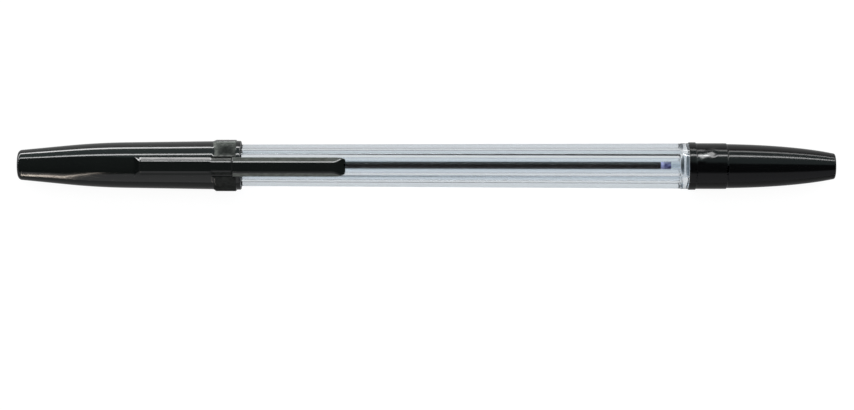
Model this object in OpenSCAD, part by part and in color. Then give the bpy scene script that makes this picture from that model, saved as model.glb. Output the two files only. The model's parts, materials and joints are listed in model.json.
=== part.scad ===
// Stick ballpoint pen with a clear six-sided barrel, lying on its side with its cap on.
// X runs from the cap's closed end to the tail. Z is up and passes through the pocket clip.
// The origin is under the middle of the capped pen, on the surface that it lies on.

/* [Barrel] */
// Length of the barrel from its nose face to its back shoulder
barrel_l = 103.85; // [90:0.05:120]
// Diameter of the round grip behind the nose
grip_d = 7.42; // [7:0.02:8.4]
// Length from the nose face to where the six flats begin
grip_l = 20.8; // [18:0.1:26]
// Diameter of the nose face's rounded rim
nose_d = 3.86; // [3.4:0.02:4.6]
// Radius of the rounding at the nose face
nose_round = 0.8; // [0.5:0.05:0.9]
// Length of the curve that swells from the nose to the grip
ogive_l = 12.9; // [10:0.1:15]
// How far each ridge of the six flats stands out from the grip
ridge_step = 0.15; // [0.05:0.01:0.3]
// Diameter of the back collar, and across the ridges there
collar_d = 8.38; // [8.2:0.02:9.2]
// Length of the round collar at the back
collar_l = 1.15; // [0.6:0.05:2]
// Length over which the flats run out at each end
flat_runout = 0.6; // [0.3:0.05:1]
// How much the six ridges are blunted
ridge_blunt = 0.04; // [0.01:0.01:0.1]
// Turn of the six flats about the axis, away from the clip's plane
flat_turn = 4; // [0:0.5:30]
// Diameter of the bore
bore_d = 4.4; // [3.6:0.1:4.8]
// Wall of the spigot that enters the end plug
spigot_wall = 1.1; // [0.6:0.05:1.2]
// Length of that spigot
spigot_l = 6; // [4:0.1:7]

/* [End plug] */
// How far the plug's flange stands out from the collar
flange_step = 0.18; // [0.05:0.01:0.4]
// Length of the flange
flange_l = 1.4; // [0.8:0.05:2.5]
// How far the seat behind the flange lies below it
seat_drop = 0.17; // [0.05:0.01:0.3]
// Length of the seat
seat_l = 5.6; // [4:0.1:8]
// How far the tail lies below the seat
tail_drop = 0.14; // [0.05:0.01:0.3]
// Length of the tapered tail
tail_l = 20; // [14:0.1:26]
// Diameter of the tail's flat end
tail_end_d = 4.6; // [3.6:0.1:6]
// How far ahead of the step the tail's curve has its widest place
tail_lead = 2; // [0:0.1:4]
// Wall of the hollow tail
plug_wall = 0.9; // [0.6:0.05:1.2]
// Rounding of the tail's end
tail_round = 0.3; // [0.1:0.05:0.5]

/* [Cap] */
// Length of the cap from its closed end to its rim
cap_l = 41; // [38:0.05:50]
// Diameter of the closed end
cap_end_d = 5.4; // [4.6:0.05:6.4]
// Rounding of the closed end
cap_round = 0.4; // [0.1:0.05:0.6]
// Distance from the closed end to the cap's shoulder, where its two tapers meet
shoulder_at = 14.55; // [10:0.1:18]
// Length of the blend on each side of the shoulder
shoulder_blend = 5.5; // [3:0.1:8]
// How far the shoulder lies below the rim
shoulder_drop = 0.38; // [0.1:0.01:0.6]
// Wall of the cap's closed end and taper
cap_wall = 0.95; // [0.7:0.05:1.1]
// Wall of the rim
rim_wall = 0.45; // [0.35:0.01:0.7]
// Depth of the wider mouth behind the rim
mouth_l = 1.25; // [0.8:0.05:2.5]
// Length of the bore that grips the barrel
socket_l = 11; // [8:0.5:13]

/* [Cap collar] */
// Length of the raised collar
lug_l = 4.5; // [3:0.1:7]
// Height of the raised collar
lug_h = 0.25; // [0.1:0.01:0.5]
// Distance from the collar to the rim
lug_back = 0.75; // [0.3:0.05:2]
// Length of the slope at the collar's front
lug_slope = 0.5; // [0.2:0.05:1]
// Chamfer at the collar's back
lug_chamfer = 0.14; // [0.05:0.01:0.2]
// Gap on each side between the collar and the clip's foot
lug_gap = 0.16; // [0.05:0.01:0.4]

/* [Pocket clip] */
// Length of the clip's foot, the ridge that runs along the cap
foot_l = 17.85; // [10:0.05:20]
// Length of the clip's free arm
arm_l = 20.6; // [14:0.1:28]
// Thickness of the arm
clip_t = 1; // [0.7:0.05:1.5]
// Width of the foot's flat top
foot_top_w = 1.7; // [1.2:0.05:2.2]
// Width of the foot at the cap
foot_base_w = 3.12; // [2.6:0.02:3.4]
// Width of the arm's flat top
arm_top_w = 1.56; // [1.2:0.02:2]
// Full width of the arm
arm_w = 3.4; // [2.8:0.05:3.8]
// Height of the chamfers along the clip's sides
clip_chamfer = 0.8; // [0.4:0.05:0.9]
// Length of the slope at the foot's front
foot_slope = 1.1; // [0.5:0.05:2]
// Length of the slope at the arm's end
arm_slope = 2.1; // [1:0.1:3]
// Length of the rounded corners at the arm's end
arm_corner_l = 1.5; // [0.5:0.1:2.5]
// Width that each rounded corner takes off the arm's end
arm_corner_w = 0.5; // [0.2:0.05:0.8]
// Distance from the arm's end to the bead under it
bead_at = 1.8; // [1:0.1:3]
// Width of the bead
bead_w = 2.4; // [1.5:0.1:2.8]

/* [Refill] */
// Outer diameter of the ink tube
tube_d = 2.6; // [2.3:0.05:3]
// Bore of the ink tube
tube_bore_d = 1.3; // [1:0.05:1.6]
// Distance from the ink tube's back end to the barrel's shoulder
tube_short = 1.5; // [0.5:0.1:4]
// Empty length of ink tube behind the grease
tube_empty_l = 1.6; // [1:0.1:20]
// Length of the grease plug that follows the ink
grease_l = 1.95; // [1:0.05:5]

/* [Point] */
// Diameter of the writing ball
ball_d = 1; // [0.5:0.05:1.2]
// How far the ball's tip stands out of the nose
tip_out = 4; // [3:0.1:6]
// Diameter of the point's straight part
point_d = 1.88; // [1.6:0.02:2.2]
// Length of the point's cone behind the ball
cone_l = 1.35; // [0.9:0.05:2]
// Wall of the point's lip, which holds the ball
lip_wall = 0.05; // [0.03:0.01:0.1]
// How far the lip reaches past the ball's middle
lip_reach = 0.15; // [0.1:0.01:0.2]
// Diameter of the ink channel in the point
channel_d = 0.5; // [0.3:0.05:0.6]
// Length of the nose bore that holds the point
point_seat_l = 2.45; // [1.5:0.05:4]
// Length of bare shank between the point's straight part and the ink tube
shank_bare_l = 0.55; // [0.2:0.05:1]
// Length of the shank inside the ink tube
shank_l = 2.1; // [1.5:0.1:4]
// Length of the barrel's seat around the ink tube's front end
tube_seat_l = 4.4; // [3:0.1:6]

/* [Clearances] */
// Gap around the barrel in the cap's bore
cap_fit = 0.08; // [0.03:0.01:0.1]
// Gap around the ridges in the cap's mouth
mouth_gap = 0.18; // [0.1:0.01:0.3]
// Gap between the cap's inner step and the barrel's ridges when the cap is home
stop_gap = 0.2; // [0.1:0.01:0.4]
// Gap between the cap's rim and the clip's arm above it
clip_gap = 0.16; // [0.1:0.01:0.4]
// Gap between the bead and the grip when the cap comes off
bead_gap = 0.3; // [0.15:0.01:0.6]
// Gap around the arm's round root
root_gap = 0.05; // [0.03:0.01:0.1]
// Gap around the writing ball
ball_gap = 0.015; // [0.01:0.001:0.02]
// Gap around pieces that are pressed together
press_gap = 0.02; // [0.01:0.005:0.03]

/* [Hidden] */
$fn = 96;

// Steps along a curve that is turned on the axis
curve_steps = 14;
// Extra length of everything that cuts
overrun = 1;
// Number of flats round the barrel
flats = 6;

// Radii of the barrel, from nose to back
grip_r = grip_d / 2;
nose_r = nose_d / 2;
ridge_front_r = grip_r + ridge_step;
collar_r = collar_d / 2;
bore_r = bore_d / 2;
spigot_r = bore_r + spigot_wall;
// Distance of a flat from the axis, at the front and at the back
flat_share = cos(180 / flats);
flat_front_r = (ridge_front_r + ridge_blunt) * flat_share;
flat_back_r = (collar_r + ridge_blunt) * flat_share;
// Places along the barrel, from the nose face
hex_end_x = barrel_l - collar_l;
hex_l = hex_end_x - grip_l;
ogive_r = (pow(ogive_l, 2) + pow(grip_r - nose_r, 2)) / (2 * (grip_r - nose_r));

// Places and radii of the end plug
flange_r = collar_r + flange_step;
seat_r = flange_r - seat_drop;
tail_r = seat_r - tail_drop;
tail_end_r = tail_end_d / 2;
seat_x = barrel_l + flange_l;
tail_x = seat_x + seat_l;
tail_end_x = tail_x + tail_l;
plug_bore_r = spigot_r + press_gap;
plug_bore_end_x = barrel_l + spigot_l + press_gap;
// Half length of the ellipse that the tail follows
tail_half_l = (tail_l + tail_lead) / sqrt(1 - pow(tail_end_r / tail_r, 2));

// Places and radii of the cap
socket_r = grip_r + cap_fit;
mouth_r = ridge_front_r + mouth_gap;
rim_r = mouth_r + rim_wall;
lug_r = rim_r + lug_h;
shoulder_r = rim_r - shoulder_drop;
cap_end_r = cap_end_d / 2;
step_x = grip_l - stop_gap;
rim_x = step_x + mouth_l;
cap_end_x = rim_x - cap_l;
shoulder_x = cap_end_x + shoulder_at;
lug_end_x = rim_x - lug_back;
lug_x = lug_end_x - lug_l;

// Places and heights of the clip
clip_under_z = rim_r + clip_gap;
clip_top_z = clip_under_z + clip_t;
root_r = clip_t / 2;
root_z = clip_under_z + root_r;
root_x = lug_end_x - root_r - lug_chamfer;
foot_x = root_x - foot_l;
arm_end_x = root_x + arm_l;
foot_embed_z = (socket_r + rim_r) / 2;
bead_r = clip_under_z - grip_r - bead_gap;
bead_x = arm_end_x - bead_at;

// Places and radii of the refill and its point
tube_r = tube_d / 2;
tube_bore_r = tube_bore_d / 2;
ball_r = ball_d / 2;
point_r = point_d / 2;
channel_r = channel_d / 2;
ball_x = ball_r - tip_out;
socket_ball_r = ball_r + ball_gap;
lip_x = ball_x - lip_reach;
lip_r = socket_ball_r + lip_wall;
point_end_x = point_seat_l;
tube_x = point_end_x + shank_bare_l;
shank_r = tube_bore_r - press_gap;
shank_end_x = tube_x + shank_l;
tube_end_x = barrel_l - tube_short;
grease_end_x = tube_end_x - tube_empty_l;
ink_end_x = grease_end_x - grease_l;
tube_seat_x = tube_x + tube_seat_l;

// Where the pen lies: its middle over the origin, its widest ring on the surface
middle_x = (cap_end_x + tail_end_x) / 2;
rest_z = max(lug_r, flange_r);

// Sets a piece, drawn along X from the nose face, in the pen's own frame
module lay() {
    translate([-middle_x, 0, rest_z]) children();
}

// Turns an outline of [radius, place along X] about the pen's axis
module turned(outline) {
    rotate([0, 90, 0]) rotate_extrude() polygon(outline);
}

// Height of the nose's swelling curve at a place behind its start
function ogive(u) = grip_r - ogive_r + sqrt(pow(ogive_r, 2) - pow(ogive_l - u, 2));

// Radius of the tail's ellipse at a place behind the step, less a wall
function tail_at(u, wall = 0) = tail_r * sqrt(1 - pow((u + tail_lead) / tail_half_l, 2)) - wall;

// Radius of the plug's hollow at a place behind the step
function hollow_at(u) = min(plug_bore_r, tail_at(u, plug_wall));

// Radius of the cap's outside at a place along it, on two tapers blended by a parabola
steep = (shoulder_r - cap_end_r) / shoulder_at;
gentle = (rim_r - shoulder_r) / (cap_l - shoulder_at);
function cap_at(x) = let (u = x - shoulder_x)
    u < -shoulder_blend ? shoulder_r + steep * u :
    u > shoulder_blend ? shoulder_r + gentle * u :
    shoulder_r + steep * u - (steep - gentle) * pow(u + shoulder_blend, 2) / (4 * shoulder_blend);

// A round corner of an outline, from one angle to another about its centre
function corner(r, x, radius, from, to) =
    [for (i = [0:4]) let (a = from + (to - from) * i / 4) [r + radius * cos(a), x + radius * sin(a)]];

// Body of the barrel between the grip and the collar, with its six tapered flats
module hex_stretch() {
    taper = atan((flat_back_r - flat_front_r) / hex_l);
    difference() {
        turned([[0, grip_l], [grip_r, grip_l], [ridge_front_r, grip_l + flat_runout],
                [collar_r, hex_end_x], [0, hex_end_x]]);
        for (k = [0:flats - 1]) rotate([k * 360 / flats - flat_turn, 0, 0])
            translate([grip_l, 0, flat_front_r]) rotate([0, -taper, 0])
                translate([-overrun, -collar_r, 0]) cube([hex_l + 2 * overrun, collar_d, collar_r]);
    }
    turned([[0, grip_l], [grip_r, grip_l], [flat_front_r, grip_l + flat_runout],
            [0, grip_l + flat_runout]]);
    turned([[0, hex_end_x - flat_runout], [flat_back_r, hex_end_x - flat_runout],
            [collar_r, hex_end_x], [0, hex_end_x]]);
}

// Clear barrel: nose, grip, six flats, collar and the spigot that enters the end plug
module barrel() {
    nose_start_x = nose_round;
    color([0.82, 0.87, 0.92, 0.45]) lay() difference() {
        union() {
            turned(concat([[0, 0]], corner(nose_r - nose_round, nose_round, nose_round, -90, 0),
                [for (i = [1:curve_steps]) let (u = ogive_l * i / curve_steps) [ogive(u), nose_start_x + u]],
                [[grip_r, grip_l], [0, grip_l]]));
            hex_stretch();
            turned([[0, hex_end_x], [collar_r, hex_end_x], [collar_r, barrel_l], [spigot_r, barrel_l],
                    [spigot_r, barrel_l + spigot_l], [0, barrel_l + spigot_l]]);
        }
        turned([[0, -overrun], [point_r + press_gap, -overrun], [point_r + press_gap, point_end_x],
                [tube_r + press_gap, point_end_x], [tube_r + press_gap, tube_seat_x],
                [bore_r, tube_seat_x + ogive_l / 4], [bore_r, barrel_l + spigot_l + overrun],
                [0, barrel_l + spigot_l + overrun]]);
    }
}

// Black end plug: flange, seat and hollow tapered tail
module end_plug() {
    cavity_end = tail_l - plug_wall;
    curve_end = tail_l - tail_round;
    color([0.05, 0.05, 0.06]) lay() difference() {
        turned(concat([[0, barrel_l], [flange_r, barrel_l], [flange_r, seat_x], [seat_r, seat_x],
                       [seat_r, tail_x]],
            [for (i = [0:curve_steps]) let (u = curve_end * i / curve_steps) [tail_at(u), tail_x + u]],
            corner(tail_at(curve_end) - tail_round, tail_end_x - tail_round, tail_round, 0, 90),
            [[0, tail_end_x]]));
        turned(concat([[0, barrel_l - overrun], [plug_bore_r, barrel_l - overrun],
                       [plug_bore_r, plug_bore_end_x], [hollow_at(0), plug_bore_end_x]],
            [for (i = [0:curve_steps]) let (u = cavity_end * i / curve_steps) [hollow_at(u), tail_x + u]],
            [[0, tail_x + cavity_end]]));
    }
}

// Section of the clip, a flat top with chamfered sides, drawn with Y across and Z up
module clip_section(top_w, base_w, low_z) {
    polygon([[-top_w / 2, clip_top_z], [-base_w / 2, clip_top_z - clip_chamfer], [-base_w / 2, low_z],
             [base_w / 2, low_z], [base_w / 2, clip_top_z - clip_chamfer], [top_w / 2, clip_top_z]]);
}

// Sweeps a section drawn in Y and Z along X
module along(from, to) {
    translate([from, 0, 0]) rotate([90, 0, 90]) linear_extrude(to - from) children();
}

// Sweeps a side view drawn in X and Z across the pen
module across(width) {
    translate([0, width / 2, 0]) rotate([90, 0, 0]) linear_extrude(width) children();
}

// Cap: hollow shell, raised collar open at the clip, and the clip's foot with the arm's seat
module cap() {
    foot_gap_w = arm_w + 2 * lug_gap - (arm_w - foot_base_w) / 2;
    inner_x = cap_end_x + cap_wall;
    socket_x = step_x - socket_l;
    blend_step = 2 * shoulder_blend / curve_steps;
    blend_x = shoulder_x - shoulder_blend;
    color([0.12, 0.13, 0.13]) lay() difference() {
        union() {
            turned(concat([[0, cap_end_x]],
                corner(cap_at(cap_end_x + cap_round) - cap_round, cap_end_x + cap_round, cap_round, -90, 0),
                [for (i = [0:curve_steps]) let (x = blend_x + blend_step * i) [cap_at(x), x]],
                [[rim_r, rim_x - rim_wall / 2], [rim_r - rim_wall / 2, rim_x], [0, rim_x]]));
            difference() {
                turned([[mouth_r + rim_wall / 2, lug_x], [cap_at(lug_x), lug_x], [lug_r, lug_x + lug_slope],
                        [lug_r, lug_end_x - lug_chamfer], [lug_r - lug_chamfer, lug_end_x],
                        [mouth_r + rim_wall / 2, lug_end_x]]);
                translate([lug_x - overrun, -foot_gap_w / 2, 0])
                    cube([lug_l + 2 * overrun, foot_gap_w, lug_r + overrun]);
            }
            intersection() {
                along(foot_x, root_x) clip_section(foot_top_w, foot_base_w, foot_embed_z);
                across(arm_w) polygon([[foot_x, foot_embed_z], [foot_x, cap_at(foot_x)],
                    [foot_x + foot_slope, clip_top_z], [root_x, clip_top_z], [root_x, foot_embed_z]]);
            }
        }
        translate([root_x, 0, root_z]) rotate([90, 0, 0])
            cylinder(r = root_r + root_gap, h = arm_w + overrun, center = true);
        turned([[0, inner_x], [cap_at(inner_x) - cap_wall, inner_x], [shoulder_r - cap_wall, shoulder_x],
                [socket_r, socket_x], [socket_r, step_x], [mouth_r, step_x], [mouth_r, rim_x + overrun],
                [0, rim_x + overrun]]);
    }
}

// Free arm of the clip: a round root, chamfered sides, a sloped and rounded end and a bead underneath
module pocket_clip() {
    end_z = clip_top_z - clip_chamfer;
    round_x = arm_end_x - arm_corner_l;
    round_y = arm_w / 2 - arm_corner_w;
    rounded = [for (a = [0:15:90]) [round_x + arm_corner_l * sin(a), round_y + arm_corner_w * cos(a)]];
    color([0.1, 0.11, 0.11]) lay() {
        intersection() {
            along(root_x - root_r, arm_end_x) clip_section(arm_top_w, arm_w, clip_under_z);
            across(arm_w) polygon([[root_x, clip_under_z], [root_x, clip_top_z],
                [arm_end_x - arm_slope, clip_top_z], [arm_end_x, end_z], [arm_end_x, clip_under_z]]);
            translate([0, 0, clip_under_z]) linear_extrude(clip_t)
                polygon(concat([[root_x, arm_w / 2]], rounded,
                    [for (i = [len(rounded) - 1:-1:0]) [rounded[i][0], -rounded[i][1]]],
                    [[root_x, -arm_w / 2]]));
        }
        intersection() {
            along(root_x - root_r, root_x + root_r) clip_section(arm_top_w, arm_w, clip_under_z);
            translate([root_x, 0, root_z]) rotate([90, 0, 0]) cylinder(r = root_r, h = arm_w, center = true);
        }
        intersection() {
            translate([bead_x, 0, clip_under_z]) rotate([90, 0, 0])
                cylinder(r = bead_r, h = bead_w, center = true);
            translate([bead_x - bead_r, -bead_w / 2, clip_under_z - bead_r])
                cube([2 * bead_r, bead_w, bead_r + clip_t / 4]);
        }
    }
}

// Ink tube of the refill, open at both ends
module refill_tube() {
    color([0.9, 0.92, 0.94, 0.5]) lay()
        turned([[tube_bore_r, tube_x], [tube_r, tube_x], [tube_r, tube_end_x], [tube_bore_r, tube_end_x]]);
}

// Ink that fills the tube from the shank to the grease
module ink_column() {
    color([0.03, 0.03, 0.04]) lay()
        turned([[0, shank_end_x], [shank_r, shank_end_x], [shank_r, ink_end_x], [0, ink_end_x]]);
}

// Grease plug that closes the ink and follows it down the tube
module grease_plug() {
    color([0.55, 0.5, 0.72, 0.8]) lay()
        turned([[0, ink_end_x], [shank_r, ink_end_x], [shank_r, grease_end_x], [0, grease_end_x]]);
}

// Metal point: lip and cone round the ball, straight part in the nose, shank in the ink tube
module point_housing() {
    color([0.75, 0.74, 0.72]) lay() difference() {
        turned([[0, lip_x], [lip_r, lip_x], [lip_r + lip_wall, ball_x + lip_wall],
                [point_r, ball_x + cone_l], [point_r, point_end_x], [shank_r, point_end_x],
                [shank_r, shank_end_x], [0, shank_end_x]]);
        translate([ball_x, 0, 0]) sphere(r = socket_ball_r);
        turned([[0, ball_x], [channel_r, ball_x], [channel_r, shank_end_x + overrun],
                [0, shank_end_x + overrun]]);
    }
}

// Ball that turns in the point and lays the ink
module writing_ball() {
    color([0.3, 0.3, 0.32]) lay() translate([ball_x, 0, 0]) sphere(r = ball_r);
}

barrel();
end_plug();
cap();
pocket_clip();
refill_tube();
ink_column();
grease_plug();
point_housing();
writing_ball();
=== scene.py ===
import json
import math

import bpy
import numpy as np
from bpy.props import FloatProperty, FloatVectorProperty, PointerProperty
from mathutils import Matrix, Vector

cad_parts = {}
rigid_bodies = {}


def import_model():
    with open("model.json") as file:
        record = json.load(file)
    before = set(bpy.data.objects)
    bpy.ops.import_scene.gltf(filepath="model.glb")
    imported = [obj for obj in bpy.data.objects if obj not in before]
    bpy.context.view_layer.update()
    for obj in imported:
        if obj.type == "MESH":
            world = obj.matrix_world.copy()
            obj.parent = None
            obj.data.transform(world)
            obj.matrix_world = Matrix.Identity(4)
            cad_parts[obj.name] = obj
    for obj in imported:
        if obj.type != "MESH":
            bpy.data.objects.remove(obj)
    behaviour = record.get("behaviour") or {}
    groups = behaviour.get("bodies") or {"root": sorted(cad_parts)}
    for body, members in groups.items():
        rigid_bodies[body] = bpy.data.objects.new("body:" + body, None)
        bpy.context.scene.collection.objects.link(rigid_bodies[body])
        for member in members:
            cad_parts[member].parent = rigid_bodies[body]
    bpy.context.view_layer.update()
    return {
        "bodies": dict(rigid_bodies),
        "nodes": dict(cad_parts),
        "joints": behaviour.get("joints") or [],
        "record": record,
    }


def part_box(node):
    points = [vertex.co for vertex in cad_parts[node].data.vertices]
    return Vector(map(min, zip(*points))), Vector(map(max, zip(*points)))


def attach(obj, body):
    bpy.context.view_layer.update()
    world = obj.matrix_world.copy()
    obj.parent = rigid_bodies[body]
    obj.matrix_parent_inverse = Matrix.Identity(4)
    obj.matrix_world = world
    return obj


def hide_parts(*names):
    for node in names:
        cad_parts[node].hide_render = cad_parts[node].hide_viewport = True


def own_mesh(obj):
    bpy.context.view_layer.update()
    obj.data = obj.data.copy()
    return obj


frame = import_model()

bl_info = {
    "name": "Stick ballpoint pen",
    "version": (1, 0, 0),
    "blender": (4, 5, 0),
    "location": "View3D > Sidebar > Pen",
    "description": "Dresses the capped ballpoint pen with moulded shapes and finishes",
    "category": "Object",
}


def joint(name):
    """What the frame says of a joint."""
    return next(j for j in frame["joints"] if j["name"] == name)


# Places that the frame gives: the ball's middle, the clip's root, the pen's axis and the solids' ends
BALL_AT, ROOT_AT = (Vector(joint(name)["pos_m"]) for name in ("ball_roll", "clip_flex"))
AXIS_Z = BALL_AT.z
NOSE_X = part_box("barrel")[0].x
CAP_END_X, RIM_X = (corner.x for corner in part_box("cap"))
TAIL_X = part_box("end_plug")[1].x
SHOULDER_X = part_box("end_plug")[0].x
ARM_END_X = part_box("pocket_clip")[1].x
TUBE_X, TUBE_END_X = (corner.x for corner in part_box("refill_tube"))
INK_X, INK_END_X = (corner.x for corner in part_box("ink_column"))
GREASE_END_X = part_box("grease_plug")[1].x
SHANK_END_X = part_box("point_housing")[1].x

# The barrel's flats, half the angle that each spans, and the small distance that gaps are counted in
FLATS = 6
HALF_FLAT = math.pi / FLATS
HAIR = 0.00001


def length(name, description, millimetres):
    """A size, given here in millimetres, that the sidebar shows in the scene's own unit."""
    return FloatProperty(
        name=name, description=description, default=millimetres / 1000, subtype="DISTANCE", unit="LENGTH",
        precision=5, min=0.0,
    )


def angle(name, description, degrees):
    """An angle, given here in degrees."""
    return FloatProperty(
        name=name, description=description, default=math.radians(degrees), subtype="ANGLE", unit="ROTATION",
    )


def colour(name, description, default):
    """A colour with no alpha."""
    return FloatVectorProperty(
        name=name, description=description, default=default, subtype="COLOR", size=3, min=0.0, max=1.0,
    )


class PenBarrelSizes(bpy.types.PropertyGroup):
    """Sizes and colour of the clear barrel."""

    nose_r: length("Nose radius", "Radius of the nose face's rounded rim", 1.93)
    nose_round: length("Nose rounding", "Radius of the rounding at the nose face", 0.8)
    ogive_l: length("Nose curve", "Length of the curve from the nose to the grip", 12.9)
    grip_r: length("Grip radius", "Radius of the round grip", 3.71)
    grip_l: length("Grip length", "Length from the nose face to the flats", 20.8)
    ridge_r: length("Front ridge radius", "Radius over the ridges where the flats begin", 3.86)
    collar_r: length("Collar radius", "Radius of the back collar and over the ridges there", 4.19)
    collar_l: length("Collar length", "Length of the round collar", 1.22)
    runout: length("Back run-out", "Length over which the flats run out at the collar", 0.3)
    front_runout: length("Front run-out", "Length over which the flats begin behind the grip", 0.8)
    flat_turn: angle("Turn of the flats", "Turn of the flats about the axis, away from the clip's plane", 5.5)
    ridge_blunt: length("Ridge blunting", "How far the flats stand off the round body's chord", 0.04)
    ridge_soft: length("Ridge softness", "How softly the flats meet at a ridge", 0.1)
    spigot_r: length("Spigot radius", "Radius of the spigot inside the end plug", 3.3)
    spigot_l: length("Spigot length", "Length of the spigot", 6)
    bore_r: length("Bore radius", "Radius of the main bore", 2.2)
    seat_r: length("Tube seat radius", "Radius of the bore round the tube's front end", 1.32)
    point_r: length("Point seat radius", "Radius of the bore round the point", 0.96)
    point_l: length("Point seat length", "Length of the bore round the point", 2.45)
    seat_l: length("Tube seat length", "Length of the bore round the tube's front end", 4.95)
    funnel_l: length("Funnel length", "Length of the cone between tube seat and main bore", 3.225)
    tint: colour("Clear plastic", "Tint of the clear moulding", (0.90, 0.945, 0.985))


class PenPlugSizes(bpy.types.PropertyGroup):
    """Sizes and colour of the end plug."""

    flange_r: length("Flange radius", "Radius of the flange", 4.37)
    flange_l: length("Flange length", "Length of the flange", 1.4)
    gap: length("Gap", "Hair's gap between the flange and the barrel's collar", 0.02)
    seat_r: length("Seat radius", "Radius of the straight seat", 4.2)
    seat_l: length("Seat length", "Length of the straight seat", 5.6)
    tail_r: length("Tail radius", "Radius of the tail where it begins", 4.06)
    tail_end_r: length("Tail end radius", "Radius that the tail would have at its flat end", 2.3)
    tail_lead: length("Tail lead", "How far ahead of the step the tail would be widest", 2)
    wall: length("Wall", "Wall of the hollow tail", 0.9)
    end_round: length("End rounding", "Rounding of the tail's end", 0.4)
    mark_at: length("Mark place", "Distance of the seat's sink mark from the flange's front", 3.2)
    mark_l: length("Mark length", "Half the length of the sink mark", 1.7)
    mark_turn: angle("Mark turn", "Angle of the sink mark from straight up", 31.0)
    mark_slant: FloatProperty(name="Mark slant", description="Slant of the sink mark", default=0.43, min=0.0)
    highlight_turn: angle("Highlight turn", "Angle from straight up of the highlight beside the mark", 29.6)
    tint: colour("Black plastic", "Colour of the end plug", (0.0015, 0.0016, 0.0018))


class PenCapSizes(bpy.types.PropertyGroup):
    """Sizes and colour of the cap and its clip."""

    end_r: length("End radius", "Radius of the closed end", 2.7)
    end_round: length("End rounding", "Rounding of the closed end", 0.8)
    shoulder_at: length("Shoulder place", "Distance from the closed end to where the tapers meet", 14.55)
    shoulder_blend: length("Shoulder blend", "Length of the blend on each side of the shoulder", 5.5)
    shoulder_r: length("Shoulder radius", "Radius where the two tapers would meet", 4.11)
    rim_r: length("Rim radius", "Radius of the rim", 4.49)
    wall: length("Wall", "Wall of the closed end", 0.95)
    socket_r: length("Socket radius", "Radius of the bore that grips the barrel", 3.79)
    socket_l: length("Socket length", "Length of that bore", 11)
    mouth_r: length("Mouth radius", "Radius of the wider mouth", 4.04)
    mouth_l: length("Mouth length", "Depth of the wider mouth", 1.25)
    lug_l: length("Collar length", "Length of the raised collar", 4.5)
    lug_h: length("Collar height", "Height of the raised collar", 0.25)
    lug_back: length("Collar setback", "Distance from the collar to the rim", 0.75)
    lug_slope: length("Collar slope", "Length of the slope at the collar's front", 0.8)
    lug_gap_w: length("Collar gap", "Width of the collar's gap at the clip", 3.4)
    lug_edge: length("Collar edge", "Width of the slope along the collar's gap", 0.25)
    pad_r: length("Pad distance", "Distance of the collar's flattened pads from the axis", 4.53)
    pad_turn: angle("Pad turn", "Angle of each pad's middle from straight up", 36.0)
    pad_flat: FloatProperty(
        name="Pad flatness", description="0 for a round collar, 1 for flat pads", default=0.6, min=0.0,
        max=1.0,
    )
    pad_side: length("Pad side", "Distance of the pads' outer sides from the pen's middle plane", 4.66)
    near_turn: angle("Turn to the near side", "Turn of the cap's shell towards the pen's near side", 1.3)
    tint: colour("Cap plastic", "Colour of the cap and clip", (0.0052, 0.0063, 0.0060))


class PenClipSizes(bpy.types.PropertyGroup):
    """Sizes of the pocket clip."""

    foot_l: length("Foot length", "Length of the clip's foot", 17.85)
    foot_slope: length("Foot slope", "Length of the slope at the foot's front", 1.1)
    foot_top_w: length("Foot top width", "Width of the foot's flat top", 1.7)
    foot_base_w: length("Foot base width", "Width of the foot at the cap", 3.3)
    foot_waist: length("Foot waist", "How much each side of the foot draws in between the pads", 0.12)
    arm_w: length("Arm width", "Full width of the arm", 3.5)
    arm_top_w: length("Arm top width", "Width of the arm's flat top", 1.58)
    arm_aside: length("Arm offset", "How far the arm sits towards the pen's near side", 0.1)
    chamfer: length("Chamfer", "Height of the chamfers along the clip's sides", 0.725)
    bevel: length("Bevel", "Width of the gentle bevel between each chamfer and the flat top", 0.33)
    bevel_h: length("Bevel height", "Height of the gentle bevel", 0.19)
    thickness: length("Thickness", "Thickness of the arm", 1)
    end_slope: length("End slope", "Length of the slope at the arm's end", 2.1)
    corner_l: length("Corner length", "Length of the rounded corners at the arm's end", 1.8)
    corner_w: length("Corner width", "Width that each corner takes off the arm's end", 0.45)
    near_corner_w: length("Near corner", "Further width that the near corner takes off the arm's end", 0.4)
    edge: length("Edge rounding", "Rounding of the clip's long edges", 0.08)
    bead_w: length("Bead width", "Width of the bead under the arm's end", 2.4)
    bead_r: length("Bead radius", "Radius of the bead", 0.64)
    bead_at: length("Bead place", "Distance from the arm's end to the bead", 1.8)


class PenRefillSizes(bpy.types.PropertyGroup):
    """Sizes and colours of the refill."""

    tube_r: length("Tube radius", "Outer radius of the ink tube", 1.3)
    bore_r: length("Tube bore radius", "Radius of the ink tube's bore", 0.65)
    ink_r: length("Ink radius", "Radius of the ink, a touch into the tube's wall", 0.69)
    tube_tint: colour("Tube plastic", "Tint of the translucent tube", (0.86, 0.90, 0.93))
    ink_tint: colour("Ink", "Colour of the ink", (0.0115, 0.0085, 0.0075))
    grease_tint: colour("Grease", "Colour of the grease plug", (0.52, 0.48, 0.74))


class PenPointSizes(bpy.types.PropertyGroup):
    """Sizes and colour of the metal point."""

    ball_r: length("Ball radius", "Radius of the writing ball", 0.5)
    body_r: length("Point radius", "Radius of the point's straight part", 0.94)
    cone_l: length("Cone length", "Length of the cone behind the ball's middle", 1.35)
    lip_r: length("Lip radius", "Radius of the lip that holds the ball", 0.565)
    lip_reach: length("Lip reach", "How far the lip reaches past the ball's middle", 0.15)
    shank_r: length("Shank radius", "Radius of the shank in the ink tube", 0.63)
    channel_r: length("Channel radius", "Radius of the ink channel", 0.25)
    tint: colour("Point metal", "Colour of the turned metal", (0.74, 0.73, 0.70))
    # The seated colour is lighter and warmer than the metal's own: painted light for the metal seen through
    # the barrel.
    seated_painted_tint: colour("Seated metal", "Colour of the metal inside the barrel", (0.98, 0.84, 0.73))


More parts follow.
